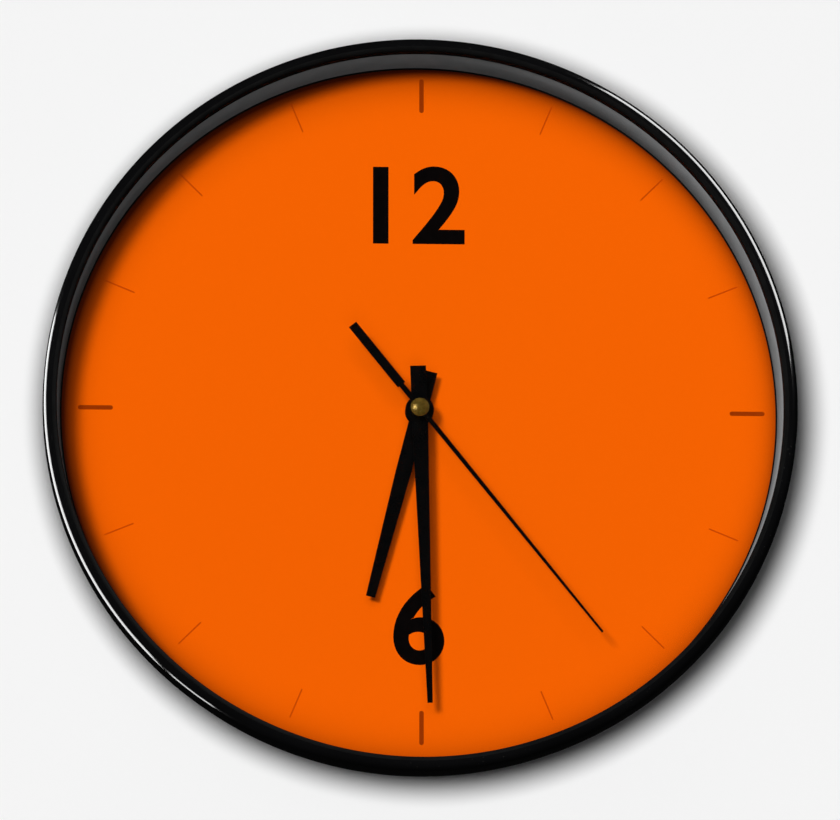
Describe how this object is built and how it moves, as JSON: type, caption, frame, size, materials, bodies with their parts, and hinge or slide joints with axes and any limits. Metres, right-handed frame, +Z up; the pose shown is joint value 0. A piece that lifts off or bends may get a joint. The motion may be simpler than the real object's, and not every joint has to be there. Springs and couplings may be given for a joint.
{
  "type": "round quartz wall clock",
  "caption": "Round analogue wall clock: glossy black bezel, clear lens, deep matte reveal, orange dial with stroke marks, tapered hour, minute and second hands, quartz movement behind.",
  "frame": {"origin": "on the hand axis, in the plane of the wall that the rear rim rests on", "axes": "+Y into the wall, so the dial faces -Y; +Z up towards twelve; +X to the right seen from the front"},
  "size_m": [0.254, 0.038, 0.254],
  "materials": {
    "case_plastic": "fine matte texture",
    "bezel_plastic": "high gloss",
    "reveal_plastic": "matte",
    "lens_acrylic": "clear acrylic, polished",
    "dial_card": "flat printed orange with dark brown marks",
    "hand_lacquer": "satin black lacquer on aluminium",
    "hand_brass": "polished",
    "collet_brass": "turned",
    "housing_plastic": "fine spark texture",
    "wheel_plastic": "natural acetal",
    "knob_plastic": "red acetal",
    "screw_steel": "zinc plated",
    "contact_steel": "nickel plated spring strip",
    "cell_jacket": "plain wrapped steel can",
    "board_laminate": "phenolic laminate",
    "chip_epoxy": "black epoxy",
    "crystal_can": "drawn can",
    "coil_copper": "enamelled copper wire",
    "bobbin_plastic": "natural nylon",
    "magnet_steel": "soft iron"
  },
  "bodies": {
    "case": {"rear_case": "case_plastic", "bezel": "bezel_plastic", "reveal_ring": "reveal_plastic", "lens": "lens_acrylic", "dial": "dial_card", "movement_base": "housing_plastic", "movement_cover": "housing_plastic", "movement_screws": "screw_steel", "train_bridge": "housing_plastic", "battery_contact_positive": "contact_steel", "battery_contact_negative": "contact_steel", "circuit_board": "board_laminate", "driver_chip": "chip_epoxy", "quartz_crystal": "crystal_can", "stator": "magnet_steel", "coil_core": "magnet_steel", "coil_bobbin": "bobbin_plastic", "coil_winding": "coil_copper"},
    "second": {"seconds_wheel": "wheel_plastic", "second_hand": "hand_lacquer", "second_hand_tube": "collet_brass", "second_hand_cap": "hand_brass"},
    "minute": {"cannon_pinion": "collet_brass", "minute_hand": "hand_lacquer", "minute_hand_collet": "collet_brass"},
    "hour": {"hour_wheel": "wheel_plastic", "hour_hand": "hand_lacquer", "hour_hand_collet": "collet_brass"},
    "rotor": {"rotor": "wheel_plastic"},
    "intermediate": {"intermediate_wheel": "wheel_plastic"},
    "third": {"third_wheel": "wheel_plastic"},
    "centre": {"centre_wheel": "wheel_plastic"},
    "minute_work": {"minute_wheel": "wheel_plastic"},
    "setting": {"setting_knob": "knob_plastic", "setting_pinion": "wheel_plastic"},
    "cell": {"battery": "cell_jacket"}
  },
  "joints": [
    {"name": "second_spin", "type": "hinge", "parent": "case", "child": "second", "pos_m": [0, 0, 0], "axis": [0, 1, 0], "continuous": true},
    {"name": "minute_spin", "type": "hinge", "parent": "case", "child": "minute", "pos_m": [0, 0, 0], "axis": [0, 1, 0], "continuous": true},
    {"name": "hour_spin", "type": "hinge", "parent": "case", "child": "hour", "pos_m": [0, 0, 0], "axis": [0, 1, 0], "continuous": true},
    {"name": "rotor_spin", "type": "hinge", "parent": "case", "child": "rotor", "pos_m": [0.00951, 0, 0.01073], "axis": [0, 1, 0], "continuous": true},
    {"name": "intermediate_spin", "type": "hinge", "parent": "case", "child": "intermediate", "pos_m": [0.00643, 0, 0.0054], "axis": [0, 1, 0], "continuous": true},
    {"name": "third_spin", "type": "hinge", "parent": "case", "child": "third", "pos_m": [-0.00736, 0, 0.00425], "axis": [0, 1, 0], "continuous": true},
    {"name": "centre_spin", "type": "hinge", "parent": "case", "child": "centre", "pos_m": [0, 0, 0], "axis": [0, 1, 0], "continuous": true},
    {"name": "minute_wheel_spin", "type": "hinge", "parent": "case", "child": "minute_work", "pos_m": [-0.00653, 0, -0.00304], "axis": [0, 1, 0], "continuous": true},
    {"name": "setting_spin", "type": "hinge", "parent": "case", "child": "setting", "pos_m": [-0.01242, 0, -0.00717], "axis": [0, 1, 0], "continuous": true},
    {"name": "battery_slide", "type": "slide", "parent": "case", "child": "cell", "axis": [0, 1, 0], "range_m": [0, 0.02]}
  ],
  "couplings": [
    {"joint": "intermediate_spin", "follows": "second_spin", "ratio": -5},
    {"joint": "rotor_spin", "follows": "second_spin", "ratio": 30},
    {"joint": "third_spin", "follows": "second_spin", "ratio": -0.13333},
    {"joint": "centre_spin", "follows": "second_spin", "ratio": 0.016667},
    {"joint": "minute_wheel_spin", "follows": "minute_spin", "ratio": -0.33333},
    {"joint": "hour_spin", "follows": "minute_spin", "ratio": 0.083333},
    {"joint": "setting_spin", "follows": "minute_spin", "ratio": 1}
  ]
}
